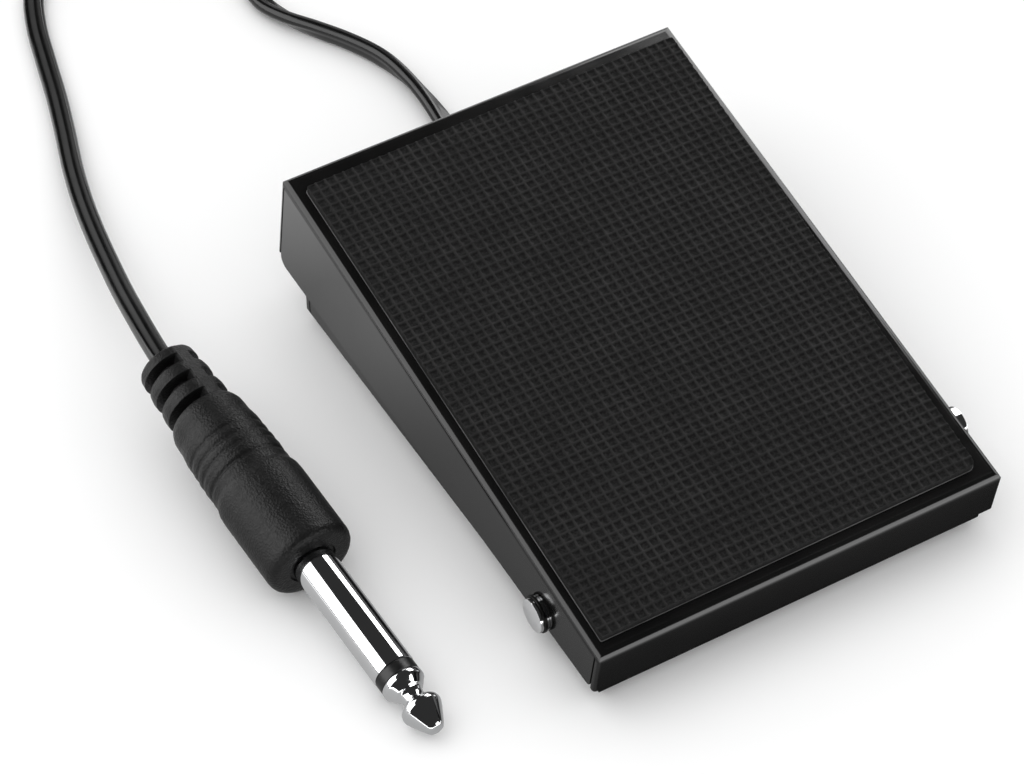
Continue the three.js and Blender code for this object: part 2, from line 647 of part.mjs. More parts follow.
// ---------------------------------------------------------------- cable, laid on the floor
// Points of the centre line, in the part's own frame.
const REAR_ROUTE = [
  [2.92, 43.45, 4.6], [2.95, 46, 4.2], [3.2, 50, 3.2], [3.7, 55, 2.1], [4.4, 60, 1.4], [4.95, 66, 1.15],
  [5.1, 72, 1.1], [4.7, 78.5, 1.1], [3.2, 84.4, 1.1], [0.8, 89.6, 1.1], [-2.1, 94.4, 1.1],
  [-4.9, 99.4, 1.1], [-6.5, 105, 1.1], [-5.7, 110.7, 1.1], [-1.7, 115, 1.1], [4.2, 117.2, 1.1],
  [10.4, 119.3, 1.1], [16.2, 124.6, 1.1], [20.8, 133.8, 1.1],
];
const PLUG_ROUTE = [
  [-29.9, 139.5, 1.1], [-31.6, 134.6, 1.1], [-34.2, 130, 1.1], [-37.6, 125, 1.1], [-40.4, 118, 1.1],
  [-42.6, 110, 1.15], [-44.8, 101.6, 1.3], [-47.4, 93, 1.7], [-50.1, 84.6, 2.4], [-52.4, 76.2, 3.5],
  [-54.3, 67.8, 4.9], [-55.9, 59.6, 6.4], [-57.3, 52, 8.0], [-58.4, 45, 9.6], [-59.2, 38.9, 10.7],
  [-59.7, 33.17, 11.42],
];
const COIL = { x: -4.0, y: 146.0, low: 0.05, high: 9.8, inner: 11.9, outer: 25.6 };

// The flat section lies with its width level; across and up are the section's half sizes along the
// sweep's first and second normals.
function layCable(route, across, up) {
  const path = new THREE.CatmullRomCurve3(route.map((p) => new THREE.Vector3(...p)), false, "centripetal");
  const round = Math.cos(Math.PI / 8);
  return new THREE.ExtrudeGeometry(ngon(across / round, up / round, 8), { steps: 32, extrudePath: path });
}
place(cords, "cable_rear", layCable(REAR_ROUTE, CABLE.width / 2, CABLE.thickness / 2), PVC);
place(cords, "cable_front", layCable(PLUG_ROUTE, CABLE.thickness / 2, CABLE.width / 2), PVC);

function cableCoil() {
  const { low, high, inner, outer } = COIL;
  const soft = 2.2;
  return turned([
    [inner + soft, low], [outer - soft, low], [outer, low + soft], [outer, high - soft],
    [outer - soft, high], [inner + soft, high], [inner, high - soft], [inner, low + soft],
    [inner + soft, low],
  ], 40);
}
place(cords, "cable_coil", cableCoil(), PVC).position.set(COIL.x, COIL.y, 0);

// ---------------------------------------------------------------- jack plug
const plug = new THREE.Group();            // z runs from the handle's rear to the tip, 0 at the handle's face
const toTip = new THREE.Vector3(...PLUG.toTip).normalize();
plug.quaternion.setFromUnitVectors(new THREE.Vector3(0, 0, 1), toTip);
plug.position.set(...PLUG.face);
cords.add(plug);

const HANDLE = [
  [0, -40.3], [4.1, -40.3], [4.4, -39.9], [4.7, -35.5], [4.95, -31.4], [5.15, -29.6], [5.8, -28.0],
  [5.85, -26.0], [6.1, -24.6], [6.2, -21.8], [6.35, -18.0], [6.28, -16.0], [6.6, -14.9], [6.78, -13.9],
  [6.78, -1.6], [6.66, -0.8], [6.3, -0.28], [5.6, 0], [0, 0],
];
function plugHandle() {
  const body = turned(HANDLE, 32);
  const cutters = [];
  for (const z of [-38.4, -34.7, -30.9]) {
    cutters.push(block(-6, -1.5, -3.1, 3.1, z, z + 1.4));
    cutters.push(block(1.5, 6, -3.1, 3.1, z, z + 1.4));
  }
  return subtractAll(body, cutters);
}
place(plug, "plug_handle", plugHandle(), PLUG_PVC);

const SLEEVE_END = 21.25;
const TIP_START = 23.0;
place(plug, "plug_sleeve", turned([
  [0, 0.2], [PLUG.sleeve, 0.2], [PLUG.sleeve, SLEEVE_END], [2.0, SLEEVE_END], [2.0, SLEEVE_END - 0.5],
  [0, SLEEVE_END - 0.5],
], 32), CHROME);
place(plug, "plug_insulator", turned([
  [0, SLEEVE_END + 0.12], [PLUG.sleeve - 0.05, SLEEVE_END + 0.12], [PLUG.sleeve - 0.05, TIP_START - 0.12],
  [0, TIP_START - 0.12],
], 32), INSULATOR);

const TIP = [
  [0, TIP_START], [3.15, TIP_START], [3.15, 24.0], [2.55, 24.9], [1.9, 25.7], [1.65, 26.4],
  [1.9, 27.0], [2.7, 27.5], [3.0, 28.3], [2.6, 29.4], [1.4, 31.65], [0.9, 32.1], [0, 32.2],
];
place(plug, "plug_tip", turned(TIP, 24), CHROME);

export default sustainPedal;
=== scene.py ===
"""Looks of the sustain pedal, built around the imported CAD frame.

The pedal's dimensions are in millimetres, which MM turns into metres.
"""
import json
import math
import random

import bpy
from mathutils import Matrix, Vector

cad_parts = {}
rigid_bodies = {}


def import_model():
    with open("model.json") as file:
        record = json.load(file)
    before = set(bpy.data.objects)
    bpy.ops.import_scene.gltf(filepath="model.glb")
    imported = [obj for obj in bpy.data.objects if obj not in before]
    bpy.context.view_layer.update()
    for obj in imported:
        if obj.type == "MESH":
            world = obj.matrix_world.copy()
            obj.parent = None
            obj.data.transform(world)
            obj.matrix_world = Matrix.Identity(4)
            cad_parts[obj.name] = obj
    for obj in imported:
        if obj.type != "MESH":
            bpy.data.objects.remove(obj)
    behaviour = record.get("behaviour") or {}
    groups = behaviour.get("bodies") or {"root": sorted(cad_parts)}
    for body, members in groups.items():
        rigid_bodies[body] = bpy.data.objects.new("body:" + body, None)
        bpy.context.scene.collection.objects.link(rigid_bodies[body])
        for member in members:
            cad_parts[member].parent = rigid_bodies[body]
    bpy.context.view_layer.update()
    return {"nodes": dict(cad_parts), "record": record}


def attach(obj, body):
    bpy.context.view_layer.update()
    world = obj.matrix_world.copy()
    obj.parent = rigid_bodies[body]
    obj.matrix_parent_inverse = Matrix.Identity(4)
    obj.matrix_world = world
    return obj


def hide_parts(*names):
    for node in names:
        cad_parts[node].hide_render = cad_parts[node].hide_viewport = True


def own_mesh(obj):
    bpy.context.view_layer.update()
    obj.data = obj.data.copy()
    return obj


for leftover in list(bpy.data.objects):
    bpy.data.objects.remove(leftover)
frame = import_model()
nodes = frame["nodes"]
MM = 0.001

# ------------------------------------------------------------------ the part's own frames
SHIFT = Vector((-1.08, -46.18, 0.0))       # the pedal's own frame to the part's frame, mm
TILT = math.radians(9.35)
FRONT_Z = 11.92
COVER_HALF = 33.1
HINGE = (15.61, 5.94)                      # y and z of the hinge axis


def from_pedal(x, y, z):
    return (Vector((x, y, z)) + SHIFT) * MM


def from_slope(x, along, high):
    """A point on the treadle's top: along runs up the slope, high is square to it."""
    return from_pedal(x, along * math.cos(TILT) - high * math.sin(TILT),
                      FRONT_Z + along * math.sin(TILT) + high * math.cos(TILT))


# ------------------------------------------------------------------ camera
CAMERA_AT = (-216.165, -339.943, 440.841)  # mm, in the part's frame
CAMERA_TURNS = (-29.87, 47.30, -0.41)      # azimuth, elevation and roll, degrees
LENS, SENSOR = 143.15, 36.0


def add_camera():
    azimuth, elevation, roll = (math.radians(turn) for turn in CAMERA_TURNS)
    back = Vector((math.sin(azimuth) * math.cos(elevation), -math.cos(azimuth) * math.cos(elevation),
                   math.sin(elevation)))
    right = Vector((math.cos(azimuth), math.sin(azimuth), 0.0))
    up = back.cross(right)
    x_axis = right * math.cos(roll) + up * math.sin(roll)
    y_axis = up * math.cos(roll) - right * math.sin(roll)
    data = bpy.data.cameras.new("camera")
    data.lens = LENS
    data.sensor_width = SENSOR
    camera = bpy.data.objects.new("camera", data)
    place = Matrix((x_axis, y_axis, back)).transposed().to_4x4()
    place.translation = Vector(CAMERA_AT) * MM
    camera.matrix_world = place
    bpy.context.scene.collection.objects.link(camera)
    bpy.context.scene.camera = camera


add_camera()


# ------------------------------------------------------------------ meshes
def add_mesh(name, verts, faces, smooth=True):
    mesh = bpy.data.meshes.new(name)
    mesh.from_pydata([tuple(v) for v in verts], [], faces)
    mesh.validate()
    mesh.update()
    for polygon in mesh.polygons:
        polygon.use_smooth = smooth
    obj = bpy.data.objects.new(name, mesh)
    bpy.context.scene.collection.objects.link(obj)
    return obj


def finish_piece(obj, body, material, replaced=()):
    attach(obj, body)
    if replaced:
        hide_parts(*replaced)
    obj.data.materials.clear()
    obj.data.materials.append(material)
    return obj


def mark_sharp(obj, degrees):
    obj.data.set_sharp_from_angle(angle=math.radians(degrees))


def smooth_line(points, per_span=12):
    """A centripetal Catmull-Rom curve through the points."""
    pts = [Vector(p) for p in points]
    pts = [pts[0] * 2 - pts[1]] + pts + [pts[-1] * 2 - pts[-2]]
    line = []
    for i in range(1, len(pts) - 2):
        p0, p1, p2, p3 = pts[i - 1:i + 3]
        t0 = 0.0
        t1 = t0 + (p1 - p0).length ** 0.5
        t2 = t1 + (p2 - p1).length ** 0.5
        t3 = t2 + (p3 - p2).length ** 0.5
        for k in range(per_span):
            t = t1 + (t2 - t1) * k / per_span
            a1 = p0 * ((t1 - t) / (t1 - t0)) + p1 * ((t - t0) / (t1 - t0))
            a2 = p1 * ((t2 - t) / (t2 - t1)) + p2 * ((t - t1) / (t2 - t1))
            a3 = p2 * ((t3 - t) / (t3 - t2)) + p3 * ((t - t2) / (t3 - t2))
            b1 = a1 * ((t2 - t) / (t2 - t0)) + a2 * ((t - t0) / (t2 - t0))
            b2 = a2 * ((t3 - t) / (t3 - t1)) + a3 * ((t - t1) / (t3 - t1))
            line.append(b1 * ((t2 - t) / (t2 - t1)) + b2 * ((t - t1) / (t2 - t1)))
    line.append(pts[-2].copy())
    return line


def even_line(line, step):
    """The same line with its points a near-equal step apart."""
    total = sum((b - a).length for a, b in zip(line, line[1:]))
    count = max(2, round(total / step))
    spaced, walked, target, i = [line[0].copy()], 0.0, total / count, 0
    while i < len(line) - 1 and len(spaced) < count:
        span = (line[i + 1] - line[i]).length
        if walked + span >= target:
            spaced.append(line[i].lerp(line[i + 1], (target - walked) / span))
            target += total / count
        else:
            walked += span
            i += 1
    spaced.append(line[-1].copy())
    return spaced


def lathe(name, profile, place, segments=96, sharp=35):
    """A turned piece from [radius, height] points in mm, set in the world by the matrix place."""
    verts, faces, rings = [], [], []
    for radius, height in profile:
        if radius < 1e-6:
            rings.append([len(verts)])
            verts.append(place @ (Vector((0, 0, height)) * MM))
            continue
        ring = []
        for k in range(segments):
            a = 2 * math.pi * k / segments
            ring.append(len(verts))
            verts.append(place @ (Vector((radius * math.cos(a), radius * math.sin(a), height)) * MM))
        rings.append(ring)
    for low, high in zip(rings, rings[1:]):
        for k in range(segments):
            n = (k + 1) % segments
            if len(low) == 1:
                faces.append((low[0], high[n], high[k]))
            elif len(high) == 1:
                faces.append((low[k], low[n], high[0]))
            else:
                faces.append((low[k], low[n], high[n], high[k]))
    obj = add_mesh(name, verts, faces)
    mark_sharp(obj, sharp)
    return obj


# ------------------------------------------------------------------ materials
class Nodes:
    """Small helper for building one material's node tree."""

    def __init__(self, name):
        self.material = bpy.data.materials.new(name)
        self.material.use_nodes = True
        self.tree = self.material.node_tree
        self.shader = self.tree.nodes["Principled BSDF"]
        coords = self.tree.nodes.new("ShaderNodeTexCoord")
        self.coords = coords.outputs["Object"]
        self.bumped = None

    def noise(self, scale, detail=3.0, roughness=0.5):
        node = self.tree.nodes.new("ShaderNodeTexNoise")
        node.inputs["Scale"].default_value = scale
        node.inputs["Detail"].default_value = detail
        node.inputs["Roughness"].default_value = roughness
        self.tree.links.new(self.coords, node.inputs["Vector"])
        return node.outputs["Fac"]

    def cells(self, scale):
        node = self.tree.nodes.new("ShaderNodeTexVoronoi")
        node.inputs["Scale"].default_value = scale
        self.tree.links.new(self.coords, node.inputs["Vector"])
        return node.outputs["Distance"]

    def spread(self, value, low, high, at_low, at_high):
        node = self.tree.nodes.new("ShaderNodeMapRange")
        node.inputs["From Min"].default_value = low
        node.inputs["From Max"].default_value = high
        node.inputs["To Min"].default_value = at_low
        node.inputs["To Max"].default_value = at_high
        self.tree.links.new(value, node.inputs["Value"])
        return node.outputs["Result"]

    def attribute(self, name):
        node = self.tree.nodes.new("ShaderNodeAttribute")
        node.attribute_name = name
        return node.outputs["Fac"]

    def blend_colours(self, factor, first, second):
        node = self.tree.nodes.new("ShaderNodeMix")
        node.data_type = "RGBA"
        for socket, value in ((node.inputs[6], first), (node.inputs[7], second)):
            if isinstance(value, tuple):
                socket.default_value = (*value, 1.0)
            else:
                self.tree.links.new(value, socket)
        self.tree.links.new(factor, node.inputs[0])
        return node.outputs[2]

    def bump(self, height, strength, distance_mm):
        node = self.tree.nodes.new("ShaderNodeBump")
        node.inputs["Strength"].default_value = strength
        node.inputs["Distance"].default_value = distance_mm * MM
        self.tree.links.new(height, node.inputs["Height"])
        if self.bumped is not None:
            self.tree.links.new(self.bumped, node.inputs["Normal"])
        self.bumped = node.outputs["Normal"]
        self.tree.links.new(self.bumped, self.shader.inputs["Normal"])

    def colour(self, value):
        self.tree.links.new(value, self.shader.inputs["Base Color"])

    def roughness(self, value):
        self.tree.links.new(value, self.shader.inputs["Roughness"])


def grey(level, warm=0.0):
    return (level * (1 + warm), level, level * (1 - warm))


def paint_material():
    m = Nodes("gloss_black_paint")
    cloud = m.noise(60, 2)
    m.colour(m.blend_colours(m.spread(cloud, 0.35, 0.65, 0, 1), grey(0.0035), grey(0.0060, 0.02)))
    m.roughness(m.spread(m.noise(240, 4), 0.3, 0.7, 0.10, 0.17))
    m.bump(m.noise(650, 2), 0.16, 0.02)            # orange peel of the stoved paint
    m.bump(m.noise(70, 2), 0.25, 0.06)             # slow waviness of the sheet
    m.shader.inputs["IOR"].default_value = 1.5
    return m.material


def moulded_material(name, dark, light, rough, grain_scale, grain_mm, strength=0.5):
    m = Nodes(name)
    m.colour(m.blend_colours(m.spread(m.noise(90, 3), 0.35, 0.65, 0, 1), grey(dark), grey(light)))
    m.roughness(m.spread(m.noise(grain_scale * 0.7, 3), 0.3, 0.7, rough - 0.06, rough + 0.08))
    m.bump(m.noise(grain_scale, 3, 0.6), strength, grain_mm)
    m.bump(m.noise(grain_scale * 3.1, 2), strength * 0.5, grain_mm * 0.4)
    return m.material


def metal_material(name, first, second, rough_low, rough_high, scale, bump=0.02, strength=0.2):
    m = Nodes(name)
    m.shader.inputs["Metallic"].default_value = 1.0
    m.colour(m.blend_colours(m.spread(m.noise(130, 3, 0.5), 0.3, 0.7, 0, 1), first, second))
    m.roughness(m.spread(m.noise(scale, 4, 0.6), 0.3, 0.7, rough_low, rough_high))
    m.bump(m.noise(scale * 1.6, 3, 0.6), strength, bump)
    return m.material


def mat_material():
    m = Nodes("gridded_rubber")
    rib = m.attribute("rib")
    speck = m.spread(m.noise(3000, 2), 0.44, 0.66, 0, 1)
    body = m.blend_colours(speck, grey(0.0035, 0.01), grey(0.0110, 0.01))
    # Painted highlight: the rib tops get a lighter colour, in random patches, standing for light caught on
    # the ribs' slopes.
    rib_highlight_patches = m.spread(m.noise(160, 3), 0.35, 0.7, 0, 1)
    painted_rib_highlight = m.blend_colours(rib_highlight_patches, grey(0.0085, 0.015), grey(0.0150, 0.02))
    m.colour(m.blend_colours(rib, body, painted_rib_highlight))
    m.roughness(m.spread(m.noise(900, 3), 0.3, 0.7, 0.62, 0.80))
    m.bump(m.noise(2300, 3, 0.6), 0.7, 0.03)
    m.shader.inputs["IOR"].default_value = 1.45
    m.shader.inputs["Specular IOR Level"].default_value = 0.25
    return m.material


def plug_material():
    m = Nodes("grained_black_pvc")
    m.colour(m.blend_colours(m.spread(m.noise(120, 3), 0.35, 0.65, 0, 1), grey(0.0030), grey(0.0055)))
    m.roughness(m.spread(m.noise(1500, 3), 0.3, 0.7, 0.40, 0.54))
    m.bump(m.cells(2900), 0.8, 0.08)               # pebbled moulding grain
    m.bump(m.noise(1600, 3), 0.35, 0.04)
    m.shader.inputs["Specular IOR Level"].default_value = 0.3
    return m.material


def cord_material():
    m = Nodes("cord_pvc")
    m.colour(m.blend_colours(m.spread(m.noise(70, 3), 0.35, 0.65, 0, 1), grey(0.0025), grey(0.0045)))
    m.roughness(m.spread(m.noise(420, 3), 0.3, 0.7, 0.17, 0.25))
    m.bump(m.noise(1400, 3), 0.2, 0.01)
    m.bump(m.noise(180, 2), 0.25, 0.04)
    return m.material


PAINT = paint_material()
MAT_RUBBER = mat_material()
RUBBER = moulded_material("moulded_rubber", 0.008, 0.014, 0.66, 1500, 0.03)
CHROME = metal_material("polished_chrome", (0.80, 0.81, 0.82), (0.86, 0.86, 0.87), 0.035, 0.07, 420,
                        bump=0.004, strength=0.08)
SATIN_CHROME = metal_material("turned_end_face", (0.66, 0.665, 0.67), (0.80, 0.80, 0.81), 0.36, 0.46, 1700,
                              bump=0.01, strength=0.3)
SATIN_CHROME.node_tree.nodes["Principled BSDF"].inputs["Metallic"].default_value = 0.62
BLACK_STEEL = metal_material("blackened_steel", (0.03, 0.03, 0.033), (0.06, 0.058, 0.055), 0.3, 0.45, 900)
ZINC = metal_material("zinc_plate", (0.40, 0.41, 0.42), (0.52, 0.52, 0.51), 0.28, 0.46, 700, bump=0.015,
                      strength=0.3)
SPRING_STEEL = metal_material("drawn_spring_steel", (0.32, 0.33, 0.35), (0.42, 0.42, 0.42), 0.22, 0.36, 900)
SWITCH_PLASTIC = moulded_material("switch_thermoset", 0.020, 0.030, 0.45, 1800, 0.015, 0.3)
BRASS = metal_material("tinned_brass", (0.50, 0.38, 0.17), (0.60, 0.50, 0.28), 0.28, 0.42, 800)
CORD_PVC = cord_material()
PLUG_PVC = plug_material()
INSULATOR = moulded_material("insulator_ring", 0.004, 0.007, 0.34, 1500, 0.01, 0.25)
# The adhesive film is a real part; its light grey tone is partly a painted highlight, standing for the light
# line along the mat's edges.
ADHESIVE_WITH_PAINTED_HIGHLIGHT = moulded_material("adhesive_film_painted_highlight", 0.05, 0.13, 0.45, 1200, 0.03, 0.4)


def button_material():
    m = Nodes("red_button")
    cloud = m.spread(m.noise(300, 3), 0.35, 0.65, 0, 1)
    m.colour(m.blend_colours(cloud, (0.27, 0.018, 0.014), (0.36, 0.03, 0.02)))
    m.roughness(m.spread(m.noise(900, 3), 0.3, 0.7, 0.36, 0.48))
    m.bump(m.noise(1500, 2), 0.3, 0.01)
    return m.material


BY_SLOT = {
    "painted_steel": PAINT, "mat_rubber": MAT_RUBBER, "rubber": RUBBER, "chrome": CHROME,
    "black_steel": BLACK_STEEL, "zinc_steel": ZINC, "spring_steel": SPRING_STEEL,
    "switch_plastic": SWITCH_PLASTIC, "button_plastic": button_material(), "brass": BRASS,
    "cable_pvc": CORD_PVC, "plug_pvc": PLUG_PVC, "insulator": INSULATOR, "adhesive": ADHESIVE_WITH_PAINTED_HIGHLIGHT,
}


# ------------------------------------------------------------------ CAD nodes that stay
def smoothing_group():
    """Joins a CAD mesh's split corners and shades it smooth, but for its real edges."""
    group = bpy.data.node_groups.new("join_and_smooth", "GeometryNodeTree")
    group.interface.new_socket("Geometry", in_out="INPUT", socket_type="NodeSocketGeometry")
    group.interface.new_socket("Geometry", in_out="OUTPUT", socket_type="NodeSocketGeometry")
    add, link = group.nodes.new, group.links.new
    start, end = add("NodeGroupInput"), add("NodeGroupOutput")
    drop = add("GeometryNodeRemoveAttribute")
    drop.inputs["Name"].default_value = "custom_normal"
    merge = add("GeometryNodeMergeByDistance")
    merge.inputs["Distance"].default_value = 2e-6
    faces = add("GeometryNodeSetShadeSmooth")
    faces.domain = "FACE"
    faces.inputs["Shade Smooth"].default_value = True
    edges = add("GeometryNodeSetShadeSmooth")
    edges.domain = "EDGE"
    edges.inputs["Shade Smooth"].default_value = False
    angle = add("GeometryNodeInputMeshEdgeAngle")
    compare = add("FunctionNodeCompare")
    compare.data_type = "FLOAT"
    compare.operation = "GREATER_THAN"
    compare.inputs[1].default_value = math.radians(32)
    link(start.outputs[0], drop.inputs["Geometry"])
    link(drop.outputs["Geometry"], merge.inputs["Geometry"])
    link(merge.outputs["Geometry"], faces.inputs["Geometry"])
    link(faces.outputs["Geometry"], edges.inputs["Geometry"])
    link(angle.outputs["Unsigned Angle"], compare.inputs[0])
    link(compare.outputs["Result"], edges.inputs["Selection"])
    link(edges.outputs["Geometry"], end.inputs[0])
    return group


def ease_cad_nodes():
    group = smoothing_group()
    slot_of = {part["node"]: part["material_slot"] for part in frame["record"]["subparts"]}
    for name, obj in nodes.items():
        if obj.hide_render:
            continue
        smooth = obj.modifiers.new("join_and_smooth", "NODES")
        smooth.node_group = group
        bevel = obj.modifiers.new("eased_edges", "BEVEL")
        bevel.limit_method = "ANGLE"
        bevel.angle_limit = math.radians(38)
        bevel.width = (0.12 if slot_of[name] == "painted_steel" else 0.06) * MM
        bevel.segments = 2
        weighted = obj.modifiers.new("weighted_normals", "WEIGHTED_NORMAL")
        weighted.keep_sharp = True
        obj.data.materials.clear()
        obj.data.materials.append(BY_SLOT[slot_of[name]])


# ------------------------------------------------------------------ cord, laid on the floor
PLUG_FACE = Vector((-57.30, -7.16, 6.50))
TO_TIP = Vector((0.059, -0.9909, -0.121)).normalized()
REAR_ROUTE = [
    (2.92, 43.45, 4.6), (2.95, 46, 4.2), (3.2, 50, 3.2), (3.7, 55, 2.1), (4.4, 60, 1.4), (4.95, 66, 1.15),
    (5.1, 72, 1.1), (4.7, 78.5, 1.1), (3.2, 84.4, 1.1), (0.8, 89.6, 1.1), (-2.1, 94.4, 1.1),
    (-4.9, 99.4, 1.1), (-6.5, 105, 1.1), (-5.7, 110.7, 1.1), (-1.7, 115, 1.1), (4.2, 117.2, 1.1),
    (10.4, 119.3, 1.1), (16.2, 124.6, 1.1), (20.8, 133.8, 1.1),
]
PLUG_ROUTE = [
    (-29.9, 139.5, 1.1), (-31.6, 134.6, 1.1), (-34.2, 130, 1.1), (-37.6, 125, 1.1), (-40.4, 118, 1.1),
    (-42.6, 110, 1.15), (-44.8, 101.6, 1.3), (-47.4, 93, 1.7), (-50.1, 84.6, 2.4), (-52.4, 76.2, 3.5),
    (-54.3, 67.8, 4.9), (-55.9, 59.6, 6.4), (-57.3, 52, 8.0), (-58.4, 45, 9.6), (-59.2, 38.9, 10.7),
    (-59.7, 33.17, 11.42),
]
CORD_ROLL = [                              # y in mm, and the rear stretch's roll there in degrees
    (43.0, 0.0), (60.0, 8.0), (76.0, 62.0), (84.0, 84.0), (92.0, 80.0), (107.0, 20.0), (114.0, 0.0),
    (200.0, 0.0),
]
LYING_BELOW = 3.0                          # where the cord is lower than this it lies on the floor
COIL_CENTRE = Vector((-4.0, 146.0, 0.0))
COLUMNS = (13.6, 17.03, 20.47, 23.9)       # radii of the coil's turns
ROWS = (1.6, 3.9, 6.2, 8.5)                # heights of its layers


def coil_points():
    """Turns from the outside of the lowest layer inwards, out again above it, and so on."""
    start, turns = -26.2, 13.61
    settled, climb_from, climb_to = 100.0, 60, 20      # degrees; a climb runs from 60 to 20 before a turn
    sweep = 360.0 * turns
    order = []
    for row, high in enumerate(ROWS):
        radii = COLUMNS[::-1] if row % 2 == 0 else COLUMNS
        order += [(r, high) for r in radii]
    keys = [(0.0, 27.4, 1.15), (45.0, 25.6, 1.4)]      # angle, radius, height
    for i, (radius, high) in enumerate(order[:13]):
        first = settled + 360.0 * i - (0 if i == 0 else climb_to)
        last = settled + 360.0 * (i + 1) - climb_from
        keys.append((first, radius, high))
        keys.append((last, radius, high))
    keys = [k for k in keys if k[0] < sweep - 150]
    # The end of the coil comes down outside its turns.
    keys += [(sweep - 110, 24.6, 8.0), (sweep - 55, 27.2, 4.2), (sweep - 18, 27.1, 1.5), (sweep, 26.8, 1.15)]
    points, step = [], 12.0
    count = int(round(sweep / step))
    for k in range(count + 1):
        at = sweep * k / count
        for (a0, r0, z0), (a1, r1, z1) in zip(keys, keys[1:]):
            if a0 <= at <= a1 + 1e-6:
                t = (at - a0) / (a1 - a0)
                t = t * t * (3 - 2 * t)
                a = math.radians(start + at)
                r, z = r0 + (r1 - r0) * t, z0 + (z1 - z0) * t
                points.append(COIL_CENTRE + Vector((r * math.cos(a), r * math.sin(a), z)))
                break
    return points


def cord_roll(p, stretch):
    """The flat cord turns on to its edge for a while behind the pedal, in degrees."""
    if stretch != "rear":
        return 0.0
    for (y0, r0), (y1, r1) in zip(CORD_ROLL, CORD_ROLL[1:]):
        if y0 <= p.y <= y1:
            t = (p.y - y0) / (y1 - y0)
            return r0 + (r1 - r0) * t * t * (3 - 2 * t)
    return 0.0


def build_cord():
    into_plug = [PLUG_FACE - TO_TIP * back for back in (37.7, 34.2)]
    rear = even_line(smooth_line(REAR_ROUTE), 0.9)
    front = even_line(smooth_line(PLUG_ROUTE + into_plug), 0.9)
    coil = even_line(smooth_line([rear[-1]] + coil_points()[1:-1] + [front[0]], 6), 1.6)
    line = [(p, "rear") for p in rear] + [(p, "coil") for p in coil[1:-1]] + [(p, "front") for p in front]
    half_split, core, sides = 0.65, 1.05, 14
    pinch_x, pinch_y = 0.35, 0.80                      # the groove between the two cores
    section = []
    for side, from_angle in ((1, -90), (-1, 90)):
        for k in range(sides):
            a = math.radians(from_angle + 180.0 * k / (sides - 1))
            x = side * half_split + core * math.cos(a)
            y = core * math.sin(a)
            section.append((x * pinch_x, y * pinch_y) if k in (0, sides - 1) else (x, y))
    verts, faces, centres = [], [], []
    for i, (p, stretch) in enumerate(line):
        before, after = line[max(0, i - 1)][0], line[min(len(line) - 1, i + 1)][0]
        along = (after - before).normalized()
        level = Vector((0, 0, 1)).cross(along).normalized()
        top = along.cross(level)
        roll = math.radians(cord_roll(p, stretch))
        across = level * math.cos(roll) + top * math.sin(roll)
        over = along.cross(across)
        lift = Vector((0, 0, half_split * abs(math.sin(roll)))) if p.z < LYING_BELOW else Vector()
        centre = p + lift
        centres.append(centre)
        for x, y in section:
            verts.append((centre + across * x + over * y) * MM)
    n = len(section)
    for i in range(len(line) - 1):
        for k in range(n):
            m = (k + 1) % n
            faces.append((i * n + k, i * n + m, (i + 1) * n + m, (i + 1) * n + k))
    faces.append(tuple(range(n))[::-1])
    faces.append(tuple((len(line) - 1) * n + k for k in range(n)))
    obj = add_mesh("cord", verts, faces)
    mark_sharp(obj, 60)
    finish_piece(obj, "base", CORD_PVC, ("cable_rear", "cable_front", "cable_coil"))
    return obj, centres


cord, cord_line = build_cord()


def build_tie():
    """A soft band round the coil's bundle, closed by a small twist on top."""
    bearing = math.radians(60)
    out = Vector((math.cos(bearing), math.sin(bearing), 0))
    along = Vector((-out.y, out.x, 0))
    inner, outer, low, high = 11.75, 25.75, 0.12, 9.72
    corner = 1.9
    loop = []
    for cx, cz, a0 in ((outer - corner, high - corner, 0), (inner + corner, high - corner, 90),
                       (inner + corner, low + corner, 180), (outer - corner, low + corner, 270)):
        for k in range(7):
            a = math.radians(a0 + 90.0 * k / 6)
            loop.append((cx + corner * math.cos(a), cz + corner * math.sin(a)))
    verts, faces = [], []
    rings = ((-1.5, 0.0), (-1.35, 0.30), (1.35, 0.30), (1.5, 0.0), (1.3, -0.12), (-1.3, -0.12))
    mid_r, mid_z = (inner + outer) / 2, (low + high) / 2
    for r, z in loop:
        to = Vector((r - mid_r, z - mid_z)).normalized()
        for side, proud in rings:
            rr, zz = r + to.x * proud, z + to.y * proud
            verts.append((COIL_CENTRE + out * rr + along * side + Vector((0, 0, max(zz, 0.03)))) * MM)
    n, count = len(rings), len(loop)
    for i in range(count):
        for k in range(n):
            a, b = i * n + k, i * n + (k + 1) % n
            j = (i + 1) % count
            faces.append((a, j * n + k, j * n + (k + 1) % n, b))
    base = len(verts)
    turns, steps = 2.5, 40
    for s in range(steps + 1):
        t = s / steps
        spin = 2 * math.pi * turns * t
        height = high + 0.25 + 0.30 * math.sin(math.pi * t)
        pos = COIL_CENTRE + out * (mid_r + 5.5 * (t - 0.5) * 2) + Vector((0, 0, height))
        width = 0.9 * (0.35 + 0.65 * math.sin(math.pi * t)) + 0.1
        a = along * math.cos(spin) + Vector((0, 0, 1)) * math.sin(spin) * 0.45
        b = Vector((0, 0, 1)) * 0.22
        for q in (a * width + b, b - a * width, -a * width - b * 0.2, a * width - b * 0.2):
            verts.append((pos + q) * MM)
    for s in range(steps):
        for k in range(4):
            a, b = base + s * 4 + k, base + s * 4 + (k + 1) % 4
            faces.append((a, b, b + 4, a + 4))
    faces.append((base + 3, base + 2, base + 1, base))
    last = base + steps * 4
    faces.append((last, last + 1, last + 2, last + 3))
    obj = add_mesh("coil_tie", verts, faces)
    mark_sharp(obj, 40)
    return finish_piece(obj, "base", RUBBER)


tie = build_tie()

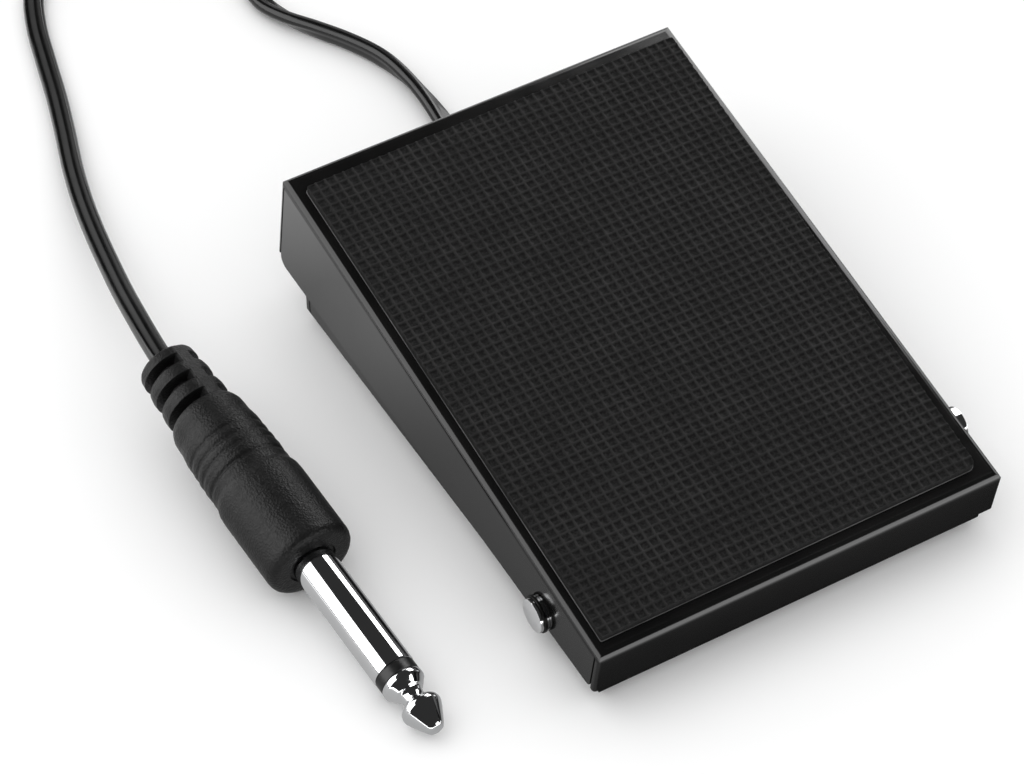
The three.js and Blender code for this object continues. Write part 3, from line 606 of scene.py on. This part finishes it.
# ------------------------------------------------------------------ jack plug
PLUG_UP = (Vector((0, 0, 1)) - TO_TIP * TO_TIP.z).normalized()
PLUG_SIDE = PLUG_UP.cross(TO_TIP)
PLUG_PLACE = Matrix((PLUG_SIDE, PLUG_UP, TO_TIP)).transposed().to_4x4()
PLUG_PLACE.translation = PLUG_FACE * MM

HANDLE = [
    (-40.3, 3.9), (-40.15, 4.2), (-39.8, 4.38), (-39.1, 4.45), (-35.5, 4.70), (-31.4, 4.93), (-29.6, 5.16),
    (-28.9, 5.50), (-28.2, 5.74), (-27.4, 5.80), (-26.0, 5.84), (-25.2, 5.98), (-24.2, 6.14), (-21.8, 6.18),
    (-20.0, 6.28), (-18.0, 6.33), (-16.2, 6.28), (-15.3, 6.33), (-14.7, 6.56), (-14.3, 6.73), (-13.9, 6.78),
    (-1.6, 6.78), (-1.1, 6.74), (-0.6, 6.58), (-0.28, 6.32), (-0.08, 6.0), (0.0, 5.6),
]
SLOTS = (-37.7, -34.0, -30.25)
SLOT_HALF = 0.72
GROOVES = ((-22.8, 0.16), (-21.1, 0.18), (-19.4, 0.16), (-17.1, 0.22))
SPINE_TURN = math.radians(23)
SPINE_HALF = 0.20                          # half angle of the plain spines, radians
RIBBED_TO = -28.3                          # the slotted part of the handle ends here
FRONT_RECESS = 3.75


def ease(x):
    x = min(1.0, max(0.0, x))
    return x * x * (3 - 2 * x)


def handle_radius(z):
    for (z0, r0), (z1, r1) in zip(HANDLE, HANDLE[1:]):
        if z0 <= z <= z1:
            return r0 + (r1 - r0) * (z - z0) / (z1 - z0)
    return HANDLE[-1][1]


def handle_surface(z, turn):
    """Radius of the handle at height z and angle turn from its top line, grooves and slots included."""
    r = handle_radius(z)
    beside = abs((turn - SPINE_TURN + math.pi) % (2 * math.pi) - math.pi)
    under = abs((turn - SPINE_TURN + 2 * math.pi) % (2 * math.pi) - math.pi)
    if z < RIBBED_TO:
        for other in (beside, under):
            if other < SPINE_HALF:
                r -= 0.10 * (1 - other / SPINE_HALF) ** 0.5    # the spine's top is a little flat
        opened = ease((min(beside, under) - SPINE_HALF) / 0.16)
        for at in SLOTS:
            off = abs(z - at)
            wall = ease((SLOT_HALF + 0.16 - off) / 0.30)
            r -= 1.9 * opened * wall
        for at in [(a + b) / 2 for a, b in zip(SLOTS, SLOTS[1:])]:
            r += 0.10 * opened * ease(1 - abs(z - at) / 1.2)   # crowned ribs
    for at, deep in GROOVES:
        fade = 0.35 + 0.65 * ease((beside - 0.15) / 0.5)
        r -= deep * fade * math.exp(-((z - at) / 0.30) ** 2)
        r += 0.05 * fade * math.exp(-((z - at - 0.75) / 0.35) ** 2)
    r -= 0.05 * math.exp(-((z + 13.9) / 0.5) ** 2)
    return r


def build_handle():
    around = 288
    heights = []
    z = HANDLE[0][0]
    while z < -15.0:
        heights.append(z)
        z += 0.1
    while z < -2.8:
        heights.append(z)
        z += 0.4
    heights += [-2.4, -2.0, -1.6, -1.35, -1.1, -0.85, -0.6, -0.44, -0.28, -0.18, -0.08, 0.0]
    verts, faces = [], []

    def ring(z, radius_at):
        for k in range(around):
            turn = 2 * math.pi * k / around
            r = radius_at(turn)
            verts.append(PLUG_PLACE @ (Vector((r * math.sin(turn), r * math.cos(turn), z)) * MM))

    ring(-39.3, lambda t: 1.75)
    ring(-40.15, lambda t: 1.95)
    ring(-40.3, lambda t: 2.25)
    ring(-40.32, lambda t: 3.4)
    for z in heights:
        ring(z, lambda t, z=z: handle_surface(z, t))
    ring(0.02, lambda t: 4.9)
    ring(0.0, lambda t: FRONT_RECESS)
    ring(-0.35, lambda t: FRONT_RECESS - 0.1)
    ring(-0.35, lambda t: 3.0)
    count = len(verts) // around
    for i in range(count - 1):
        for k in range(around):
            n = (k + 1) % around
            faces.append((i * around + k, (i + 1) * around + k, (i + 1) * around + n, i * around + n))
    faces.append(tuple(range(around)))
    faces.append(tuple((count - 1) * around + k for k in range(around))[::-1])
    obj = add_mesh("plug_moulding", verts, faces)
    mark_sharp(obj, 50)
    return finish_piece(obj, "base", PLUG_PVC, ("plug_handle",))


SLEEVE_RADIUS, SLEEVE_END, TIP_START = 3.175, 21.25, 23.0
plug_moulding = build_handle()
sleeve = lathe("jack_sleeve", [
    (0, -1.0), (SLEEVE_RADIUS, -1.0), (SLEEVE_RADIUS, SLEEVE_END - 0.25), (3.12, SLEEVE_END - 0.06),
    (3.0, SLEEVE_END), (0, SLEEVE_END),
], PLUG_PLACE)
finish_piece(sleeve, "base", CHROME, ("plug_sleeve",))
ring = lathe("jack_insulator", [
    (0, SLEEVE_END + 0.02), (3.02, SLEEVE_END + 0.02), (3.10, SLEEVE_END + 0.12), (3.10, TIP_START - 0.12),
    (3.0, TIP_START - 0.02), (0, TIP_START - 0.02),
], PLUG_PLACE)
finish_piece(ring, "base", INSULATOR, ("plug_insulator",))
TIP = [
    (0, TIP_START), (3.02, TIP_START), (3.14, 23.12), (3.15, 23.4), (3.15, 23.85), (3.08, 24.02),
    (2.86, 24.25), (2.55, 24.72), (2.28, 24.98), (2.20, 25.12), (1.95, 25.2), (1.78, 25.5), (1.67, 25.95),
    (1.65, 26.4), (1.72, 26.72), (1.9, 26.95), (2.25, 27.15), (2.65, 27.38), (2.88, 27.65), (2.98, 27.98),
    (3.0, 28.3), (2.93, 28.6), (2.6, 29.35), (2.0, 30.5), (1.4, 31.6), (1.15, 31.95), (0.85, 32.1),
    (0.4, 32.18), (0, 32.2),
]
tip = lathe("jack_tip", TIP, PLUG_PLACE, sharp=60)
finish_piece(tip, "base", CHROME, ("plug_tip",))

# ------------------------------------------------------------------ rubber mat with its moulded grid
MAT_CORNERS = [(-31.37, 2.47), (30.17, 2.70), (31.68, 88.24), (-30.91, 87.80)]
MAT_SIZE = (62.07, 85.5)                   # width and length that the grid is laid out on
MAT_LOW, MAT_FIELD, RIB = 0.2, 0.98, 0.24  # heights of the underside and the field, and of a rib above it
RIB_FOOT, RIB_TOP = 0.24, 0.12             # half widths of a rib
NOTCH_RIGHT, NOTCH_REAR = 0.17, 0.11       # how far those edges fall back between the ribs
EDGE_DROP, WANDER = 0.10, 0.045            # how much lower the outline lies; scatter of the ribs' lines
CELLS = (41, 56)
CORNER_ROUND = (0.25, 1.2, 0.8, 0.6)       # front left, front right, rear right, rear left


def mat_point(u, v):
    (x0, y0), (x1, y1), (x2, y2), (x3, y3) = MAT_CORNERS
    x = (x0 * (1 - u) + x1 * u) * (1 - v) + (x3 * (1 - u) + x2 * u) * v
    y = (y0 * (1 - u) + y1 * u) * (1 - v) + (y3 * (1 - u) + y2 * u) * v
    return x, y


def round_corner(x, y):
    """Moves an edge point in, so that the outline's corners are rounded."""
    size = MAT_SIZE
    for (cu, cv), radius in zip(((0, 0), (1, 0), (1, 1), (0, 1)), CORNER_ROUND):
        dx = x if cu == 0 else size[0] - x
        dy = y if cv == 0 else size[1] - y
        if dx < radius and dy < radius:
            ox, oy = radius - dx, radius - dy
            far = math.hypot(ox, oy)
            if far > radius:
                ox, oy = ox * radius / far, oy * radius / far
            nx, ny = radius - ox, radius - oy
            x = nx if cu == 0 else size[0] - nx
            y = ny if cv == 0 else size[1] - ny
    return x, y


def build_mat():
    rng = random.Random(7)
    width, length = MAT_SIZE

    def lines(cells, size):
        pitch = size / cells
        out = []
        for c in range(cells + 1):
            middle = c * pitch
            for off, rib in ((-RIB_FOOT, 0.0), (-RIB_TOP, 1.0), (RIB_TOP, 1.0), (RIB_FOOT, 0.0)):
                out.append((middle + off, rib, c))
            if c < cells:
                out.append((middle + pitch / 2, 0.0, c))
        out = [o for o in out if 0.05 < o[0] < size - 0.05]
        return [(0.0, 0.0, 0)] + out + [(size, 0.0, cells)]

    us, vs = lines(CELLS[0], width), lines(CELLS[1], length)
    wander_u = [[rng.uniform(-WANDER, WANDER) for _ in range(len(vs))] for _ in range(CELLS[0] + 1)]
    wander_v = [[rng.uniform(-WANDER, WANDER) for _ in range(len(us))] for _ in range(CELLS[1] + 1)]
    verts, faces, ribs = [], [], []
    for j, (v, rib_v, row) in enumerate(vs):
        for i, (u, rib_u, column) in enumerate(us):
            inside = 0 < i < len(us) - 1 and 0 < j < len(vs) - 1
            notch_u = NOTCH_RIGHT * (1 - rib_v) if i == len(us) - 1 else 0.0
            notch_v = NOTCH_REAR * (1 - rib_u) if j == len(vs) - 1 else 0.0
            uu = u + (wander_u[column][j] if inside else 0.0)
            vv = v + (wander_v[row][i] if inside else 0.0)
            uu, vv = round_corner(uu, vv)
            uu, vv = uu - notch_u, vv - notch_v
            rib = max(rib_u, rib_v) * (0.9 + 0.1 * rng.random())
            x, y = mat_point(uu / width, vv / length)
            edge = 0.0 if inside else EDGE_DROP
            verts.append(from_slope(x, y, MAT_FIELD + RIB * rib - edge + rng.uniform(-0.01, 0.01)))
            ribs.append(rib)
    nu, nv = len(us), len(vs)
    for j in range(nv - 1):
        for i in range(nu - 1):
            a = j * nu + i
            faces.append((a, a + 1, a + nu + 1, a + nu))
    border = list(range(nu)) + [j * nu + nu - 1 for j in range(1, nv)]
    border += [(nv - 1) * nu + i for i in range(nu - 2, -1, -1)] + [j * nu for j in range(nv - 2, 0, -1)]
    low = len(verts)
    for index in border:
        u, v = us[index % nu][0], vs[index // nu][0]
        u, v = round_corner(u, v)
        x, y = mat_point(u / width, v / length)
        verts.append(from_slope(x, y, MAT_LOW))
        ribs.append(0.0)
    n = len(border)
    for k in range(n):
        m = (k + 1) % n
        faces.append((border[k], low + k, low + m, border[m]))
    faces.append(tuple(low + k for k in range(n))[::-1])
    obj = add_mesh("gridded_mat", verts, faces)
    mark_sharp(obj, 70)
    layer = obj.data.attributes.new("rib", "FLOAT", "POINT")
    layer.data.foreach_set("value", ribs)
    return finish_piece(obj, "treadle", MAT_RUBBER, ("rubber_mat",))


build_mat()


# ------------------------------------------------------------------ hinge axle
def build_axle():
    left, right, neck, radius, groove = -34.54, 36.7, 1.8, 2.6, 0.65
    edge, eased = 0.16, 0.05
    turned_beyond = 0.034                              # m; faces across the axis out here are satin
    profile = [(0, left), (radius - edge, left), (radius - eased, left + eased), (radius, left + edge)]
    for at in (left + 0.5, COVER_HALF + 0.3):          # the clips' grooves
        profile += [(radius, at), (neck, at), (neck, at + groove), (radius, at + groove)]
    profile += [(radius, right - edge), (radius - eased, right - eased), (radius - edge, right), (0, right)]
    place = Matrix.Translation(from_pedal(0, *HINGE)) @ Matrix.Rotation(math.pi / 2, 4, "Y")
    obj = lathe("hinge_pin", profile, place)
    finish_piece(obj, "base", CHROME, ("hinge_axle",))
    obj.data.materials.append(SATIN_CHROME)
    for polygon in obj.data.polygons:
        if abs(polygon.normal.x) > 0.9 and abs(polygon.center.x) > turned_beyond:
            polygon.material_index = 1
    return obj


build_axle()


# ------------------------------------------------------------------ return springs
SPRING_X, SPRING_Y = 21.5, 68


def build_spring(side, x):
    low, high, radius, wire, turns = 2.5, 20.3, 4.6, 0.55, 7
    steps, sides = turns * 48, 12
    verts, faces = [], []
    closed = 0.75 / turns                              # share of the wire in each closed end
    for s in range(steps + 1):
        t = s / steps
        climb = min(1.0, max(0.0, (t - closed) / (1 - 2 * closed)))
        climb = climb + 0.004 * math.sin(2 * math.pi * climb)
        a = 2 * math.pi * turns * t
        z = low + wire + (high - low - 2 * wire) * climb
        centre = Vector((radius * math.cos(a), radius * math.sin(a), z))
        out = Vector((math.cos(a), math.sin(a), 0))
        for k in range(sides):
            b = 2 * math.pi * k / sides
            p = centre + out * (wire * math.cos(b)) + Vector((0, 0, wire * math.sin(b)))
            verts.append(from_pedal(x + p.x, SPRING_Y + p.y, p.z))
    for s in range(steps):
        for k in range(sides):
            n = (k + 1) % sides
            faces.append((s * sides + k, (s + 1) * sides + k, (s + 1) * sides + n, s * sides + n))
    faces.append(tuple(range(sides)))
    faces.append(tuple(steps * sides + k for k in range(sides))[::-1])
    obj = add_mesh(f"coil_spring_{side}", verts, faces)
    mark_sharp(obj, 60)
    finish_piece(obj, "base", SPRING_STEEL, (f"return_spring_{side}",))
    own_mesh(obj)
    return obj


build_spring("left", -SPRING_X)
build_spring("right", SPRING_X)

ease_cad_nodes()


# ------------------------------------------------------------------ studio
def link_stage(obj, camera=False, diffuse=False, glossy=False, shadow=False):
    obj.visible_camera = camera
    obj.visible_diffuse = diffuse
    obj.visible_glossy = glossy
    obj.visible_shadow = shadow
    obj.visible_transmission = False


def add_square(name, half, high):
    corners = [(-half, -half, high), (half, -half, high), (half, half, high), (-half, half, high)]
    return add_mesh(name, corners, [(0, 1, 2, 3)], False)


def glowing_material(name):
    """An emission material, with its node tree and its emission node."""
    material = bpy.data.materials.new(name)
    material.use_nodes = True
    tree = material.node_tree
    tree.nodes.clear()
    out = tree.nodes.new("ShaderNodeOutputMaterial")
    light = tree.nodes.new("ShaderNodeEmission")
    tree.links.new(light.outputs[0], out.inputs[0])
    return material, tree, light


def add_floor():
    floor = add_square("floor", 6.0, 0)
    material = bpy.data.materials.new("pale_floor")
    material.use_nodes = True
    shader = material.node_tree.nodes["Principled BSDF"]
    shader.inputs["Base Color"].default_value = (0.93, 0.93, 0.93, 1)
    shader.inputs["Roughness"].default_value = 0.9
    shader.inputs["Specular IOR Level"].default_value = 0.0
    floor.data.materials.append(material)
    link_stage(floor, camera=True, diffuse=True, glossy=False, shadow=True)


def math_node(tree, operation, first, second=None):
    node = tree.nodes.new("ShaderNodeMath")
    node.operation = operation
    for socket, value in zip(node.inputs, (first, second)):
        if value is None:
            continue
        if isinstance(value, (int, float)):
            socket.default_value = value
        else:
            tree.links.new(value, socket)
    return node.outputs[0]


def add_reflected_floor():
    """What gloss sees of the floor, with the pedal's shadow painted in: dark close to the pedal and brighter
    further out.
    """
    half_width, half_length, left_edge = 0.034, 0.046, 0.0325      # the pedal's footprint, m
    card = add_square("reflected_floor", 1.2, -0.0004)
    material, tree, light = glowing_material("reflected_floor")
    coords = tree.nodes.new("ShaderNodeTexCoord")
    split = tree.nodes.new("ShaderNodeSeparateXYZ")
    tree.links.new(coords.outputs["Object"], split.inputs[0])
    x, y = split.outputs[0], split.outputs[1]

    def outside(value, edge, sign):
        """Distance beyond one side of the footprint, never below zero."""
        signed = math_node(tree, "MULTIPLY", value, sign)
        return math_node(tree, "MAXIMUM", math_node(tree, "SUBTRACT", signed, edge), 0.0)

    def glow(distance, top, reach, power):
        fall = math_node(tree, "EXPONENT", math_node(tree, "DIVIDE", distance, -reach))
        rise = math_node(tree, "POWER", math_node(tree, "SUBTRACT", 1.0, fall), power)
        return math_node(tree, "MULTIPLY", rise, top)

    # Painted light: on the pedal's left the reflected floor brightens towards the rear.
    ramp = tree.nodes.new("ShaderNodeMapRange")
    ramp.interpolation_type = "SMOOTHSTEP"
    for socket, value in (("From Min", 0.004), ("From Max", 0.036), ("To Min", 1.0), ("To Max", 1.9)):
        ramp.inputs[socket].default_value = value
    tree.links.new(y, ramp.inputs["Value"])
    # Painted shadow: each side's glow stays low next to the pedal's footprint and rises further out.
    beside = math_node(tree, "MINIMUM", math_node(tree, "DIVIDE", outside(x, left_edge, -1), 0.003), 0.17)
    near = math_node(tree, "ADD", beside, glow(outside(x, half_width, -1), 0.36, 0.025, 1.0))
    left = math_node(tree, "MULTIPLY", near, ramp.outputs["Result"])
    right = glow(outside(x, half_width, 1), 1.4, 0.055, 2.0)
    front = glow(outside(y, half_length, -1), 3.6, 0.026, 2.2)
    back = glow(outside(y, half_length, 1), 0.8, 0.030, 1.2)
    sides = math_node(tree, "ADD", left, right)
    ends = math_node(tree, "ADD", front, back)
    level = math_node(tree, "ADD", math_node(tree, "ADD", sides, ends), 0.05)
    tree.links.new(level, light.inputs["Strength"])
    card.data.materials.append(material)
    link_stage(card, glossy=True)


def add_card(name, azimuths, elevations, distance, strength):
    """A curved glowing card, seen only in reflections; azimuth is from +Y towards +X, in degrees."""
    verts, faces = [], []
    a0, a1 = azimuths
    e0, e1 = elevations
    pivot, rows, steps = (0.0, 0.0, 0.01), 10, 12
    for j in range(rows + 1):
        e = math.radians(e0 + (e1 - e0) * j / rows)
        for i in range(steps + 1):
            a = math.radians(a0 + (a1 - a0) * i / steps)
            flat = distance * math.cos(e)
            verts.append((pivot[0] + flat * math.sin(a), pivot[1] + flat * math.cos(a),
                          pivot[2] + distance * math.sin(e)))
    for j in range(rows):
        for i in range(steps):
            k = j * (steps + 1) + i
            faces.append((k, k + 1, k + steps + 2, k + steps + 1))
    card = add_mesh(name, verts, faces, False)
    material, _, light = glowing_material(name)
    light.inputs["Strength"].default_value = strength
    card.data.materials.append(material)
    link_stage(card, glossy=True)


WORLD_LIGHT, WORLD_IN_GLOSS = 1.08, 0.03   # strength of the white surroundings, and as gloss sees them


def add_world():
    world = bpy.data.worlds.new("studio")
    bpy.context.scene.world = world
    world.use_nodes = True
    tree = world.node_tree
    tree.nodes.clear()
    out = tree.nodes.new("ShaderNodeOutputWorld")
    shade = tree.nodes.new("ShaderNodeBackground")
    path = tree.nodes.new("ShaderNodeLightPath")
    shade.inputs["Color"].default_value = (1, 1, 1, 1)
    dim = math_node(tree, "MULTIPLY", path.outputs["Is Glossy Ray"], WORLD_LIGHT - WORLD_IN_GLOSS)
    tree.links.new(math_node(tree, "SUBTRACT", WORLD_LIGHT, dim), shade.inputs["Strength"])
    tree.links.new(shade.outputs[0], out.inputs[0])


def add_soft_light():
    data = bpy.data.lights.new("softbox", "AREA")
    data.shape = "RECTANGLE"
    data.size, data.size_y = 0.9, 0.9
    data.energy = 1.6
    light = bpy.data.objects.new("softbox", data)
    light.location = (-0.55, 0.25, 0.95)
    light.rotation_euler = (Vector((0, 0, 0)) - Vector(light.location)).to_track_quat("-Z", "Y").to_euler()
    light.visible_glossy = False
    light.visible_camera = False
    bpy.context.scene.collection.objects.link(light)


add_floor()
add_reflected_floor()
add_card("left_card", (-105, -28), (3, 52), 0.55, 2.6)
add_card("right_card_high", (38, 78), (15, 52), 0.45, 4.2)
add_card("right_card_low", (38, 78), (-3, 15), 0.45, 2.1)
add_card("front_card", (138, 172), (-20, 27), 0.5, 3.6)
add_card("rear_card", (10, 30), (2, 38), 0.6, 0.9)
add_world()
add_soft_light()
scene = bpy.context.scene
scene.view_settings.view_transform = "Standard"
scene.view_settings.look = "None"
